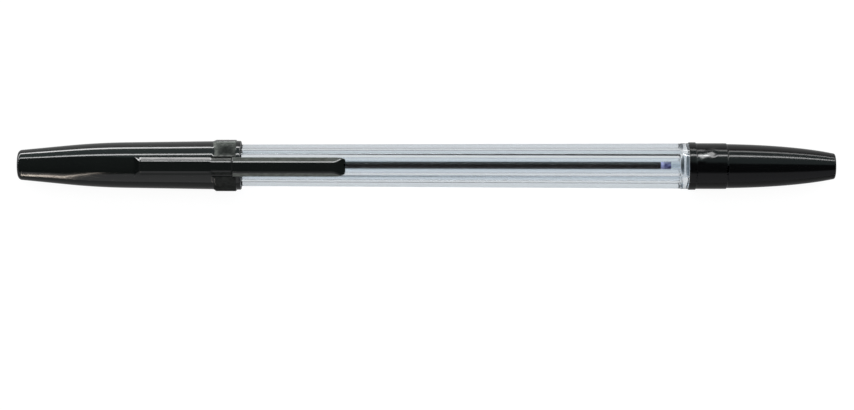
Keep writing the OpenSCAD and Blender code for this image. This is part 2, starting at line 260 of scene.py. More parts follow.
class PenStageSizes(bpy.types.PropertyGroup):
    """Camera, lamps and floor."""

    distance: length("Camera distance", "Distance from the camera to the pen's axis", 525)
    view_w: length("View width", "Width that the picture shows at the pen's axis", 156.88)
    centre_x: FloatProperty(
        name="View centre", description="Place along the pen that the camera stands over",
        default=0.0001, subtype="DISTANCE", unit="LENGTH", precision=5,
    )
    below: length("Below the pen", "How far below the pen's axis the picture's middle lies", 7.24)
    lean: angle("Lean", "How far the camera leans round the pen from straight above", 3.2)
    roll: angle("Roll", "Turn of the picture about its middle", 0.1)
    floor_w: length("Floor width", "Width of the floor", 6000)
    floor_tint: colour("Floor", "Colour of the floor", (0.15, 0.15, 0.15))


# Shapes: arrays of points with no loop over vertices


def smooth(value, low, high):
    """Smooth step: 0 below low, 1 above high, and t * t * (3 - 2 t) between."""
    t = np.clip((value - low) / (high - low), 0.0, 1.0)
    return t * t * (3.0 - 2.0 * t)


def rounded(corners, steps=7):
    """Outline through corners given as (x, r, rounding): each becomes an arc tangent to both its sides.

    The arc about a corner with half opening angle h starts rounding / tan(h) along each side from the corner.
    """
    points = []
    for before, here, after in zip([corners[0], *corners[:-1]], corners, [*corners[1:], corners[-1]]):
        at = np.array(here[:2])
        one, two = np.array(before[:2]) - at, np.array(after[:2]) - at
        if here[2] <= 0 or not one.any() or not two.any():
            points.append(at)
            continue
        one, two = one / np.linalg.norm(one), two / np.linalg.norm(two)
        half = math.acos(np.clip(one @ two, -1, 1)) / 2
        middle = (one + two) / np.linalg.norm(one + two)
        centre = at + middle * here[2] / math.sin(half)
        start, end = at + one * here[2] / math.tan(half), at + two * here[2] / math.tan(half)
        for share in np.linspace(0, 1, steps):
            chord = start + (end - start) * share - centre
            points.append(centre + chord / np.linalg.norm(chord) * here[2])
    return np.array(points)


def filled(points, step):
    """The same outline with extra points, at most step apart and closer together near the corners."""
    parts, crowding = [], 0.7
    for a, b in zip(points[:-1], points[1:]):
        count = max(1, int(math.ceil(np.linalg.norm(b - a) / step)))
        t = np.linspace(0, 1, count + (2 if count > 1 else 1))[:-1]
        if count > 1:
            t = t - crowding * np.sin(2 * math.pi * t) / (2 * math.pi)
        parts.append(a + (b - a) * t[:, None])
    return np.concatenate([*parts, points[-1:]])


def arc(x, r, radius, turn):
    """Outline of part of a circle about (x, r): x + radius * sin(turn) and r + radius * cos(turn)."""
    return np.stack([x + radius * np.sin(turn), r + radius * np.cos(turn)], -1)


def turned(outline, angles, radius=None):
    """Surface of revolution about the pen's axis, as rings of points.

    A point is x along the pen, radius * sin(angle) across and radius * cos(angle) up from the axis.
    """
    x = outline[:, :1] + 0 * angles
    r = outline[:, 1:2] + 0 * angles if radius is None else radius
    return np.stack([x, r * np.sin(angles), AXIS_Z + r * np.cos(angles)], -1)


def full_turn(count):
    """Evenly spaced angles of one turn."""
    return np.arange(count) * 2 * math.pi / count


def faces_of(rings, turns, loop):
    """Quads between neighbouring rings, the last ring joined to the first where loop is true."""
    i = np.arange(rings if loop else rings - 1)[:, None]
    j = np.arange(turns)[None, :]
    i2, j2 = (i + 1) % rings, (j + 1) % turns
    return np.stack([i * turns + j, i * turns + j2, i2 * turns + j2, i2 * turns + j], -1).reshape(-1, 4)


def placed(name, data, matrix=None):
    """Adds an object to the scene, at the origin or where a matrix puts it."""
    made = bpy.data.objects.new(name, data)
    if matrix is not None:
        made.matrix_world = matrix
    bpy.context.scene.collection.objects.link(made)
    return made


def skin(name, rings, material, body, nodes=(), loop=False):
    """Makes a closed mesh of rings: a loop of them, or a row whose end rings close on a middle point."""
    count, turns = rings.shape[:2]
    points = rings.reshape(-1, 3)
    faces = [faces_of(count, turns, loop)]
    if not loop:
        j = np.arange(turns)
        j2, last = (j + 1) % turns, (count - 1) * turns
        points = np.concatenate([points, rings[:1].mean(1), rings[-1:].mean(1)])
        pole = np.full(turns, count * turns)
        faces += [np.stack([pole, j2, j], -1), np.stack([pole + 1, last + j, last + j2], -1)]
    triangles = np.concatenate([faces[0][:, :3], faces[0][:, [0, 2, 3]], *faces[1:]])
    a, b, c = (points[triangles[:, k]] for k in range(3))
    if np.einsum("ij,ij->i", a, np.cross(b, c)).sum() < 0:
        faces = [f[:, ::-1] for f in faces]
    mesh = bpy.data.meshes.new(name)
    mesh.from_pydata(points.tolist(), [], [f for part in faces for f in part.tolist()])
    mesh.shade_smooth()
    mesh.materials.append(material)
    piece = placed(name, mesh)
    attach(piece, body)
    if nodes:
        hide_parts(*nodes)
    return piece


# Finishes


def joined(operation, swapped=False):
    """A Signal's method that joins it and another number by a Math node, the other first where swapped."""

    def method(self, other):
        return self.math(operation, *((other, self) if swapped else (self, other)))

    return method


class Signal:
    """A shader socket that Python arithmetic works on: an expression on it adds its Math nodes."""

    def __init__(self, finish, socket):
        self.finish, self.socket = finish, socket

    def math(self, operation, *values):
        return self.finish.node("ShaderNodeMath", *values, settings={"operation": operation})

    __add__, __radd__ = joined("ADD"), joined("ADD", True)
    __sub__, __rsub__ = joined("SUBTRACT"), joined("SUBTRACT", True)
    __mul__, __rmul__ = joined("MULTIPLY"), joined("MULTIPLY", True)
    __truediv__, __pow__ = joined("DIVIDE"), joined("POWER")

    def size(self):
        """This number without its sign."""
        return self.math("ABSOLUTE", self)

    def above(self, least):
        """The larger of this number and another."""
        return self.math("MAXIMUM", self, least)

    def reach(self, other):
        """Length of the arrow whose two parts are this number and another."""
        return (self * self + other * other) ** 0.5

    def turn(self, other):
        """Angle of that arrow, from the other number's direction towards this one's."""
        return self.math("ARCTAN2", self, other)

    def step(self, low, high):
        """0 below low, 1 above high, smooth between."""
        kind = {"interpolation_type": "SMOOTHSTEP"}
        return self.finish.node("ShaderNodeMapRange", self, low, high, settings=kind)

    def fall(self, low, high):
        """1 below low, 0 above high, smooth between."""
        return 1.0 - self.step(low, high)

    def band(self, low, full, last, high):
        """1 from full to last, 0 below low and above high, smooth between."""
        return self.step(low, full) * self.fall(last, high)


class Finish:
    """Builds one material or world out of nodes."""

    def __init__(self, tree):
        self.tree = tree
        tree.nodes.clear()

    def node(self, kind, *values, settings=None, out=0, **named):
        """Adds a node with its settings, and its sockets' values or links in order or by name."""
        made = self.tree.nodes.new(kind)
        for key, value in (settings or {}).items():
            setattr(made, key, value)
        for key, value in [*enumerate(values), *named.items()]:
            socket = made.inputs[key if isinstance(key, int) else key.replace("_", " ")]
            if isinstance(value, Signal):
                self.tree.links.new(value.socket, socket)
            elif value is not None:
                socket.default_value = value
        return Signal(self, made.outputs[out]) if made.outputs else made

    def place(self):
        """The surface point in the pen's own frame."""
        return self.node("ShaderNodeTexCoord", out="Object")

    def grain(self, along, across, detail=3.0, roughness=0.5):
        """Soft noise from 0 to 1, with so many cycles a metre along the pen and across it."""
        where = self.node("ShaderNodeMapping", Vector=self.place(), Scale=(along, across, across))
        return self.node(
            "ShaderNodeTexNoise", out="Fac", Vector=where, Scale=1.0, Detail=detail, Roughness=roughness
        )

    def mixed(self, share, one, two):
        """Colour between one and two."""
        one, two = (c if isinstance(c, Signal) else (*c[:3], 1.0) for c in (one, two))
        kind, left_alone = {"data_type": "RGBA"}, [None] * 5
        return self.node("ShaderNodeMix", share, *left_alone, one, two, settings=kind, out=2)

    def outputs(self, names, kind, *values):
        """Adds a node and gives its outputs of those names."""
        made = self.node(kind, *values).socket.node
        return [Signal(self, made.outputs[name]) for name in names]

    def axes(self, where):
        """The three numbers of a place or direction."""
        return self.outputs("XYZ", "ShaderNodeSeparateXYZ", where)

    def about_axis(self):
        """Place along the pen, across it and above its axis."""
        x, y, z = self.axes(self.place())
        return x, y, z - AXIS_Z

    def rays(self, *kinds):
        """1 for each named kind of ray, such as Camera or Glossy, and 0 for any other."""
        return self.outputs([f"Is {kind} Ray" for kind in kinds], "ShaderNodeLightPath")

    def surface(self, **sockets):
        """The shader of a solid surface, with its sockets' values or links by name."""
        return self.node("ShaderNodeBsdfPrincipled", **sockets)

    def bump(self, height, strength, distance):
        """Normal bent by a height in metres times distance."""
        return self.node("ShaderNodeBump", Strength=strength, Distance=distance, Height=height)

    def end(self, shader, kind="ShaderNodeOutputMaterial"):
        """Links the last shader to the output."""
        self.node(kind, shader)


def material(name):
    """A new material and the finish that builds it."""
    made = bpy.data.materials.new(name)
    made.use_nodes = True
    return made, Finish(made.node_tree)


def shaded(share, one):
    """A colour times a number."""
    return tuple(c * share for c in one)


def on_flats(f, p):
    """1 along the barrel's flats, 0 along its nose and round grip."""
    return f.axes(f.place())[0].step(NOSE_X + p.grip_l, NOSE_X + p.grip_l + p.front_runout)


def ridge_rubs(f, p):
    """Where the barrel's outside is rubbed dull: mostly its ridges, less the flats' ends and the grip."""
    x, y, up = f.about_axis()
    edge, side, ridge = 0.0001, (0.0026, 0.0034), (0.01, 0.04)
    ends_share, grip_share = 0.7, 0.3
    front, back = NOSE_X + p.grip_l, SHOULDER_X - p.collar_l
    back_end = x.band(back - p.runout - edge, back - p.runout, back, back + edge)
    front_end = x.band(front - 3 * edge, front, front + p.front_runout, front + 1.5 * p.front_runout)
    at_ends = back_end.above(front_end * y.size().step(*side))
    turn = y.turn(up) - (p.flat_turn + HALF_FLAT)
    off = turn.math("PINGPONG", turn, HALF_FLAT)
    flats = on_flats(f, p)
    rubbed = (flats * off.fall(*ridge)).above(ends_share * at_ends).above(grip_share * (1.0 - flats))
    return rubbed * y.reach(up).step(p.spigot_r, p.spigot_r + 2 * edge)


def clear_finish(name, tint, ior, roughness, haze, flow, rubs=None, lined=None):
    """Clear moulded plastic: a refracting shell with faint flow lines along the pen and a slight cloud.

    Rubs gives where the surface is rubbed dull. Lined gives how strong the flow lines are, 1 for full.
    """
    made, f = material(name)
    lines = f.grain(25.0, 2200.0, 4.0, 0.6)
    cloud = f.grain(90.0, 260.0)
    specks = f.grain(2600.0, 3800.0, 2.0)
    clouded, line_depth, rubbed = 0.94, 0.00002, 0.5
    height = lines + 0.3 * cloud
    if lined:
        height = height * lined(f)
    shell = f.surface(
        Base_Color=f.mixed(cloud * 0.7 + lines * 0.3, shaded(clouded, tint), tint),
        Roughness=roughness + haze * (specks * 0.5 + lines * 0.5) + (rubs(f) * rubbed if rubs else 0.0),
        IOR=ior, Transmission_Weight=1.0, Normal=f.bump(height, flow, line_depth),
    )
    (shadow,) = f.rays("Shadow")
    through = f.node("ShaderNodeBsdfTransparent", Color=(*tint, 1.0))
    f.end(f.node("ShaderNodeMixShader", shadow, shell, through))
    return made


def sink_mark(f, p):
    """Height and extra gloss of the shallow mark on the end plug's seat, which slants the highlight there.

    On the mark's slanted middle line the surface faces where it would face on the highlight's own line. It
    is flattened about that line: q * (line - highlight + flatten * q) / radius, q being the distance from it.
    """
    flatten, gloss_back, plain_gloss = 0.36, 0.45, 0.35

    def within(distance, full, end):
        """1 up to full and 0 past end, both as shares of the mark's half length."""
        return distance.size().fall(p.mark_l * full, p.mark_l * end)

    x, y, up = f.about_axis()
    along = x - (SHOULDER_X + p.mark_at)
    line = p.seat_r * p.mark_turn + along * p.mark_slant
    aside = p.seat_r * y.turn(up) - line
    height = aside * (line - p.seat_r * p.highlight_turn + flatten * aside) / p.seat_r
    height = height * within(aside, 0.2, 0.8) * within(along, 0.5, 1.2)
    streaks = f.grain(500.0, 2500.0).step(0.3, 0.7)
    gloss = within(aside, 0.1, 0.5) * (plain_gloss + (1.0 - plain_gloss) * streaks)
    return height, gloss * within(along + p.mark_l * gloss_back, 0.3, 1.0)


def cap_matt_and_painted_light(f, p):
    """Where the cap is matt and how pale it is painted: the collar's pads and the foot's flanks beside them,
    in painted sheen, highlight and shade.
    """
    x, y, up = f.about_axis()
    along = (x - (RIM_X - p.lug_back - p.lug_l)) / p.lug_l
    on_collar = along.band(0.0, 0.04, 0.97, 0.99) * y.reach(up).step(p.rim_r, p.rim_r + 5 * HAIR)
    below_top = up.fall(0.00545, 0.0055)
    matt = on_collar * below_top * y.band(-0.00445, -0.0043, 0.0044, 0.0045)

    # Painted sheen: a paler frame along each pad's bevelled front edge and along its edge by the foot.
    front_edge, foot_edge = along.fall(0.08, 0.35), 0.7 * y.size().fall(0.0018, 0.00205)
    frame = 0.4 * front_edge.above(foot_edge)
    # Painted sheen towards each pad's outer side, and a painted highlight line along its outer top edge.
    outer_side_sheen, edge_highlight = 0.2 * y.step(0.003, 0.004), 1.2 * y.step(0.0042, 0.00428)
    # The pad's middle is left darker, with less painted sheen.
    hollow = 0.8 * ((along - 0.6) * 2.6).reach((y - 0.0029) * 800.0).fall(0.2, 1.0)
    # Painted shade in the gap beside the foot: the pads get no paleness there.
    beyond_gap_shade = y.size().step(0.00165, 0.00182)
    # Levels: the plain pad, the foot's flanks in painted shade, the near pad in painted shade, and how much
    # less painted light the far pad gets.
    plain, flank_shade_level, near_shaded_level, far_less_light = 0.22, 0.18, 0.085, 0.035
    pad = (plain + frame + outer_side_sheen) * (1.0 - hollow) * beyond_gap_shade + edge_highlight
    # Higher up, on the foot's flanks beside the pads, the lower level of painted shade.
    pad = pad + (flank_shade_level - pad) * up.step(0.0047, 0.0048)
    # The far pad is painted lighter than the near one, which stays in painted shade.
    far = y.step(-0.001, 0.001)
    mottle = f.grain(1500.0, 1900.0, 4.0, 0.65).step(0.3, 0.7)
    return matt, (near_shaded_level + far * (pad - far_less_light)) * (0.5 + mottle)


def mouth_light_ring(f, p):
    """Where the end plug is matt and painted pale, a painted ring of light: a narrow ring inside its mouth,
    round the barrel's spigot.
    """
    x, y, up = f.about_axis()
    # The ring's near white colour stands in for light seen through the joint: painted light.
    ring = y.reach(up).fall(p.spigot_r + 4 * HAIR, p.spigot_r + 10 * HAIR)
    deep = x.fall(SHOULDER_X + 0.0006, SHOULDER_X + 0.0011)
    return ring * deep, f.grain(900.0, 900.0)


def flank_matt_painted_light(f):
    """Where the clip's arm is matt: its slanted flanks, found by how far they face sideways, and how pale
    they are painted, less on the far flank.
    """
    _, sideways, _ = f.axes(f.node("ShaderNodeTexCoord", out="Normal"))
    # Painted shade: the far flank gets less paleness than the near one.
    far_less_light = 0.25 * sideways.step(-0.1, 0.1)
    mottle = f.grain(900.0, 2600.0, 4.0, 0.65).step(0.3, 0.7)
    return sideways.size().step(0.54, 0.6), (0.7 - far_less_light) * (0.7 + 0.6 * mottle)


# Dull is the colour that the matt parts' painted light goes to.
def black_finish(name, tint, roughness, ripple, ior=1.52, matt=None, mark=None, dull=(0.20, 0.212, 0.196)):
    """Glossy moulded plastic: faint sinks and ripples bend its highlights, fine dust and rubs dull it.

    Matt gives where the moulding is matt and how pale it is painted there, from a dark colour to dull, in
    painted light and shade. Mark gives the height and gloss of a mark.
    """
    made, f = material(name)
    sinks = f.grain(120.0, 260.0, 2.0)
    ripples = f.grain(700.0, 900.0)
    rubs = f.grain(300.0, 5200.0, 4.0, 0.65).step(0.45, 0.75)
    dust = f.grain(9000.0, 9000.0, 1.0).step(0.66, 0.72)
    dusty, matt_dark, matt_share, depth = 2.6, 0.5, 0.85, 0.00008 * ripple
    height = (sinks + ripples * 0.12) * depth
    gloss = 0.0
    if mark:
        raised, gloss = mark(f)
        height = height + raised
    shell = f.surface(
        Base_Color=f.mixed(dust * 0.25 + sinks * 0.2, tint, shaded(dusty, tint)), IOR=ior,
        Roughness=roughness + 0.05 * rubs + 0.12 * dust, Coat_Weight=gloss, Coat_Roughness=0.1,
        Coat_IOR=1.7, Normal=f.bump(height, 1.0, 1.0),
    )
    if matt:
        # The matt shader's paleness is painted light and shade, from a dark colour to the dull one.
        where, pale = matt(f)
        rubbed = f.node("ShaderNodeBsdfDiffuse", f.mixed(pale, shaded(matt_dark, tint), dull))
        shell = f.node("ShaderNodeMixShader", where * matt_share, shell, rubbed)
    f.end(shell)
    return made


def metal_finish(name, tint, roughness, painted_inside=None):
    """Turned metal: fine tool lines round the point, with small changes of tone.

    The colour given for the metal behind the barrel's nose face is lighter and warmer, painted light for the
    metal seen through the barrel; the metal is duller there too.
    """
    made, f = material(name)
    lines = f.grain(26000.0, 900.0, 2.0)
    tone = f.grain(1500.0, 1500.0)
    darker, line_depth, seated_dull, edge = 0.82, 0.000004, 0.12, 0.0001
    base = f.mixed(tone * 0.6 + lines * 0.4, shaded(darker, tint), tint)
    dull = 0.0
    if painted_inside:
        # Painted light: the metal behind the nose face gets the lighter, warmer colour.
        inside = f.axes(f.place())[0].step(NOSE_X, NOSE_X + edge)
        base, dull = f.mixed(inside, base, painted_inside), inside * seated_dull
    f.end(f.surface(
        Metallic=1.0, Base_Color=base, Roughness=roughness + 0.12 * lines + dull,
        Normal=f.bump(lines, 0.5, line_depth),
    ))
    return made


def ink_finish(name, tint):
    """Wet ink behind the tube's wall: dark, with faint streaks along the tube."""
    made, f = material(name)
    streaks = f.grain(60.0, 2600.0, 3.0, 0.6)
    clots = f.grain(1400.0, 2600.0, 2.0)
    paler, streak_depth = 3.2, 0.00001
    f.end(f.surface(
        IOR=1.2, Base_Color=f.mixed(streaks * 0.7 + clots * 0.3, tint, shaded(paler, tint)),
        Roughness=0.3 + 0.16 * clots, Normal=f.bump(streaks, 0.3, streak_depth),
    ))
    return made


def grease_finish(name, tint, ink, start, end):
    """Grease plug: lilac gel, stained by ink in a blotch towards its back end."""
    made, f = material(name)
    along = f.axes(f.place())[0]
    blotch = f.grain(1500.0, 1900.0)
    stain, blotch_depth = along.step(start, end) * (blotch * 1.6), 0.00002
    f.end(f.surface(
        Base_Color=f.mixed(stain, tint, ink), IOR=1.47,
        Roughness=0.3 + 0.2 * blotch, Normal=f.bump(blotch, 0.3, blotch_depth),
    ))
    return made


# Pieces


# Surfaces of the pieces, as rings of points


def barrel_rings(p):
    """The clear barrel: a closed loop of rings from the nose, over the outside, and back through the bore.

    Each outer radius between the grip and the collar is the soft minimum of the round body's cone and of the
    flats, flat distance / cos(angle from the flat's middle), and at least that of the cones that end them.
    """
    flat_share, small = math.cos(HALF_FLAT), 0.00008
    fine, plain, coarse = 0.0002, 0.0006, 0.0012
    crowding, risen = 0.86, 0.994
    back = SHOULDER_X - NOSE_X
    hex_end = back - p.collar_l
    grip_from = p.nose_round + p.ogive_l
    rise = p.grip_r - p.nose_r
    bow = (p.ogive_l**2 + rise**2) / (2 * rise)
    u = np.linspace(0, p.ogive_l, 40)[1:]
    ogive = np.stack([p.nose_round + u, p.grip_r - bow + np.sqrt(bow**2 - (p.ogive_l - u) ** 2)], -1)
    nose_turn = np.linspace(-math.pi / 2, 0, 10)
    nose = arc(p.nose_round, p.nose_r - p.nose_round, p.nose_round, nose_turn)
    front = rounded([(0, p.point_r, 0), (0, p.point_r + small * 2, 0), (0, p.nose_r - p.nose_round, 0)])
    outer = rounded([
        (grip_from, p.grip_r, 0), (p.grip_l, p.grip_r, small * 2),
        (p.grip_l + p.front_runout, p.ridge_r, small * 2),
        (hex_end - p.runout, p.ridge_r + (p.collar_r - p.ridge_r) * risen, 0), (hex_end, p.collar_r, 0),
        (back, p.collar_r, small), (back, p.spigot_r, 0), (back + p.spigot_l, p.spigot_r, small),
        (back + p.spigot_l, p.bore_r, small),
    ])
    seat_end = p.point_l + p.seat_l
    inner = rounded([
        (seat_end + p.funnel_l, p.bore_r, 0), (seat_end, p.seat_r, 0), (p.point_l, p.seat_r, small / 2),
        (p.point_l, p.point_r, small / 2), (0, p.point_r, 0),
    ])
    outside = np.concatenate([filled(front, fine), nose[1:], ogive, filled(outer, plain)[1:]])
    inside = filled(np.concatenate([outside[-1:], inner]), coarse)[1:-1]
    outline = np.concatenate([outside, inside])
    t = np.linspace(-1, 1, 33)[:-1]
    side = HALF_FLAT * (t + crowding * np.sin(math.pi * t) / math.pi)
    angles = (side[None, :] + np.arange(FLATS)[:, None] * 2 * HALF_FLAT).reshape(-1) + p.flat_turn
    off = (angles - p.flat_turn + HALF_FLAT) % (2 * HALF_FLAT) - HALF_FLAT
    x, r = outline[:, :1], outline[:, 1:2] + 0 * angles
    share = np.clip((x - p.grip_l) / (hex_end - p.grip_l), 0, 1)
    front_flat, back_flat = ((r_at + p.ridge_blunt) * flat_share for r_at in (p.ridge_r, p.collar_r))
    flat = (front_flat + (back_flat - front_flat) * share) / np.cos(off)
    soft = -p.ridge_soft * np.logaddexp(-r / p.ridge_soft, -flat / p.ridge_soft)
    start = p.grip_r + (front_flat - p.grip_r) * np.clip((x - p.grip_l) / p.front_runout, 0, 1)
    stop = back_flat + (p.collar_r - back_flat) * np.clip((x - hex_end + p.runout) / p.runout, 0, 1)
    cones = np.where(x < p.grip_l + p.front_runout, start, np.where(x > hex_end - p.runout, stop, 0))
    flats = (x > p.grip_l) & (x < hex_end) & (np.arange(len(outline))[:, None] < len(outside))
    radius = np.where(flats, np.maximum(soft, cones), r)
    outline[:, 0] += NOSE_X
    return turned(outline, angles, radius)


def plug_rings(p, barrel):
    """The end plug: rings from the hollow's end, over its mouth and flange, along the tail to its flat end.

    The tail is a quarter of an ellipse, tail radius * sqrt(1 - (distance + lead)^2 / half length^2).
    """
    front_x = SHOULDER_X + p.gap
    tail_x = SHOULDER_X + p.flange_l + p.seat_l
    tail_l = TAIL_X - tail_x
    half = (tail_l + p.tail_lead) / math.sqrt(1 - (p.tail_end_r / p.tail_r) ** 2)
    small, step, inner_share, face_shares = 0.0001, 0.0005, 0.5, (0.92, 0.4)
    u = np.linspace(0, tail_l - p.end_round, 70)
    tail = p.tail_r * np.sqrt(1 - ((u + p.tail_lead) / half) ** 2)
    last = tail[-1] - p.end_round
    turn = np.linspace(0, math.pi / 2, 10)[1:]
    hollow = np.linspace(tail_l - p.wall, 0, 40)
    hollow_r = np.minimum(
        p.tail_r * np.sqrt(1 - ((hollow + p.tail_lead) / half) ** 2) - p.wall, barrel.spigot_r + 2 * HAIR
    )
    mouth = rounded([
        (front_x, hollow_r[-1], small / 2), (front_x, p.flange_r, small * 1.6),
        (SHOULDER_X + p.flange_l, p.flange_r, small * 1.6), (SHOULDER_X + p.flange_l, p.seat_r, small / 2),
        (tail_x, p.seat_r, small), (tail_x, p.tail_r, small / 4),
    ])
    outline = np.concatenate([
        [[tail_x + tail_l - p.wall, hollow_r[0] * inner_share]],
        np.stack([tail_x + hollow, hollow_r], -1),
        filled(np.concatenate([[[front_x + small, hollow_r[-1]]], mouth]), step),
        np.stack([tail_x + u, tail], -1)[1:],
        arc(TAIL_X - p.end_round, last, p.end_round, turn),
        [[TAIL_X, last * share] for share in face_shares],
    ])
    return turned(outline, full_turn(144))


def cap_radius(p, x):
    """Outer radius of the cap at a place: two tapers, blended over the shoulder by a parabola."""
    shoulder = CAP_END_X + p.shoulder_at
    steep = (p.shoulder_r - p.end_r) / p.shoulder_at
    gentle = (p.rim_r - p.shoulder_r) / (RIM_X - shoulder)
    u = x - shoulder
    bend = np.clip(u + p.shoulder_blend, 0, 2 * p.shoulder_blend)
    past = np.clip(u - p.shoulder_blend, 0, None)
    return p.shoulder_r + steep * u - (steep - gentle) * (bend**2 / (4 * p.shoulder_blend) + past)


def pad_radius(p, away):
    """Radius of the collar's top at an angle from straight up, up to half a turn.

    Beside the clip it is a flattened pad whose normal turns at (1 - flatness) of the angle's rate, which is
    distance * cos(flatness * angle from the pad's middle) ^ (-1 / flatness). The pad meets an upright side
    by a soft minimum, and the round collar goes on underneath.
    """
    soft, reach, least = 0.00006, 1.2, 0.1
    flat = p.pad_r * np.cos(p.pad_flat * np.clip(away - p.pad_turn, -reach, reach)) ** (-1 / p.pad_flat)
    side = p.pad_side / np.sin(np.clip(away, least, math.pi / 2))
    pad = -soft * np.logaddexp(-flat / soft, -side / soft)
    return pad + (p.rim_r + p.lug_h - pad) * smooth(away, math.radians(84), math.radians(115))


def cap_rings(p):
    """The cap's shell: rings from inside its closed end, out through its mouth, over the rim and the collar.

    The collar adds its height times a smooth step along the cap times a smooth step away from the clip's gap.
    """
    step_x = RIM_X - p.mouth_l
    socket_x = step_x - p.socket_l
    inner_x, round_x = CAP_END_X + p.wall, CAP_END_X + p.end_round
    small, step, middle_r, face_shares = 0.00006, 0.0008, 0.0002, (0.9, 0.4)
    lug_end = RIM_X - p.lug_back
    lug_x = lug_end - p.lug_l
    inner = rounded([
        (inner_x, middle_r, 0), (inner_x, float(cap_radius(p, inner_x)) - p.wall, small * 3),
        (CAP_END_X + p.shoulder_at, p.shoulder_r - p.wall, 0), (socket_x, p.socket_r, 0),
        (step_x, p.socket_r, 0), (step_x, p.mouth_r, 0), (RIM_X, p.mouth_r, small),
        (RIM_X, p.rim_r, small * 3.4), (lug_end + small, p.rim_r, 0),
    ])
    along = np.concatenate([
        np.linspace(lug_end, lug_end - 0.0005, 14), np.linspace(lug_end - 0.0008, lug_x + 0.0008, 10),
        np.linspace(lug_x + 0.0006, lug_x - 0.0001, 16),
        np.linspace(lug_x - 0.0005, round_x, 90),
    ])
    end_r = float(cap_radius(p, round_x)) - p.end_round
    closed = arc(round_x, end_r, p.end_round, np.linspace(0, -math.pi / 2, 10)[1:])
    inside = filled(inner, step)[1:]
    outline = np.concatenate([
        inside, np.stack([along, cap_radius(p, along)], -1), closed,
        [[CAP_END_X, end_r * share] for share in face_shares],
    ])
    gap = math.asin(p.lug_gap_w / 2 / p.rim_r)
    edge = p.lug_edge / p.rim_r
    near = np.concatenate([np.linspace(gap - edge, gap + 2 * edge, 30), np.linspace(1.0, 1.5, 30)])
    angles = np.unique(np.concatenate([full_turn(120), near, 2 * math.pi - near]))
    away = np.minimum(angles, 2 * math.pi - angles)
    x = outline[:, :1]
    back = smooth(lug_end - x, -0.00002, 0.0002)
    front = np.clip((x - lug_x) / p.lug_slope, 0, 1)
    top = pad_radius(p, away)[None, :] - cap_radius(p, x)
    raised = top * smooth(front, 0, 1) * back * smooth(away, gap, gap + edge)
    on_outside = np.arange(len(outline))[:, None] >= len(inside)
    radius = outline[:, 1:2] + np.where(on_outside & (x < lug_end + small), raised, 0)
    return turned(outline, angles - p.near_turn, radius)


def bar_rings(x, sides, edge, aside=0.0):
    """Rings of a bar whose section runs through sides, (half width, height) from the top down, and mirrored.

    Every number is an array along the bar. Each corner of the section is a curve of the second degree from
    edge before it to edge after it, with a point on the straight side at each end so that sides shade flat.
    """
    corners = np.stack([np.stack(c, -1) for c in [*sides, *((-y, z) for y, z in reversed(sides))]], 1)
    corners[..., 0] -= np.broadcast_to(aside, x.shape)[:, None]
    before, after = np.roll(corners, 1, 1) - corners, np.roll(corners, -1, 1) - corners
    size_b, size_a = (np.linalg.norm(v, axis=-1, keepdims=True) for v in (before, after))
    most, hold, shares = 0.35, 0.3, np.linspace(0, 1, 5)
    cut_b, cut_a = (np.minimum(edge, most * s) / np.maximum(s, 1e-9) for s in (size_b, size_a))
    one, two = corners + before * cut_b, corners + after * cut_a
    bend = [(1 - s) ** 2 * one + 2 * s * (1 - s) * corners + s**2 * two for s in shares]
    bend = [one + hold * (one - corners), *bend, two + hold * (two - corners)]
    section = np.stack(bend, 2).reshape(len(x), -1, 2)
    return np.concatenate([np.broadcast_to(x[:, None, None], (*section.shape[:2], 1)), section], -1)


def foot_rings(p, cap):
    """The clip's foot: its top rises over the front slope, and its base lies inside the cap's shell."""
    sunk, waist_blend = 0.0005, 0.0002
    front_x, back_x = ROOT_AT.x - p.foot_l, ROOT_AT.x - 3 * HAIR
    slope_x = front_x + p.foot_slope
    x = np.concatenate([np.linspace(front_x, slope_x, 14), np.linspace(slope_x, back_x, 60)[1:]])
    rise = np.clip((x - front_x) / p.foot_slope, 0, 1)
    shell = cap_radius(cap, x) + AXIS_Z
    start_z = shell[0] - 5 * HAIR
    top_z = start_z + (ROOT_AT.z + p.thickness / 2 - start_z) * rise
    bevel_z = top_z - p.bevel_h * rise - HAIR
    chamfer_z = top_z - p.chamfer * rise - 2 * HAIR
    side = (p.foot_base_w - p.foot_top_w) / 2
    lug_x = RIM_X - cap.lug_back - cap.lug_l
    half_base = p.foot_base_w / 2 - p.foot_waist * smooth(x, lug_x - waist_blend, lug_x + waist_blend)
    half_top = half_base - 2 * HAIR - (side - 2 * HAIR) * rise
    half_bevel = half_top + HAIR + (p.bevel - HAIR) * rise
    sides = [(half_top, top_z), (half_bevel, bevel_z), (half_base, chamfer_z), (half_base, shell - sunk)]
    return bar_rings(x, sides, p.edge)


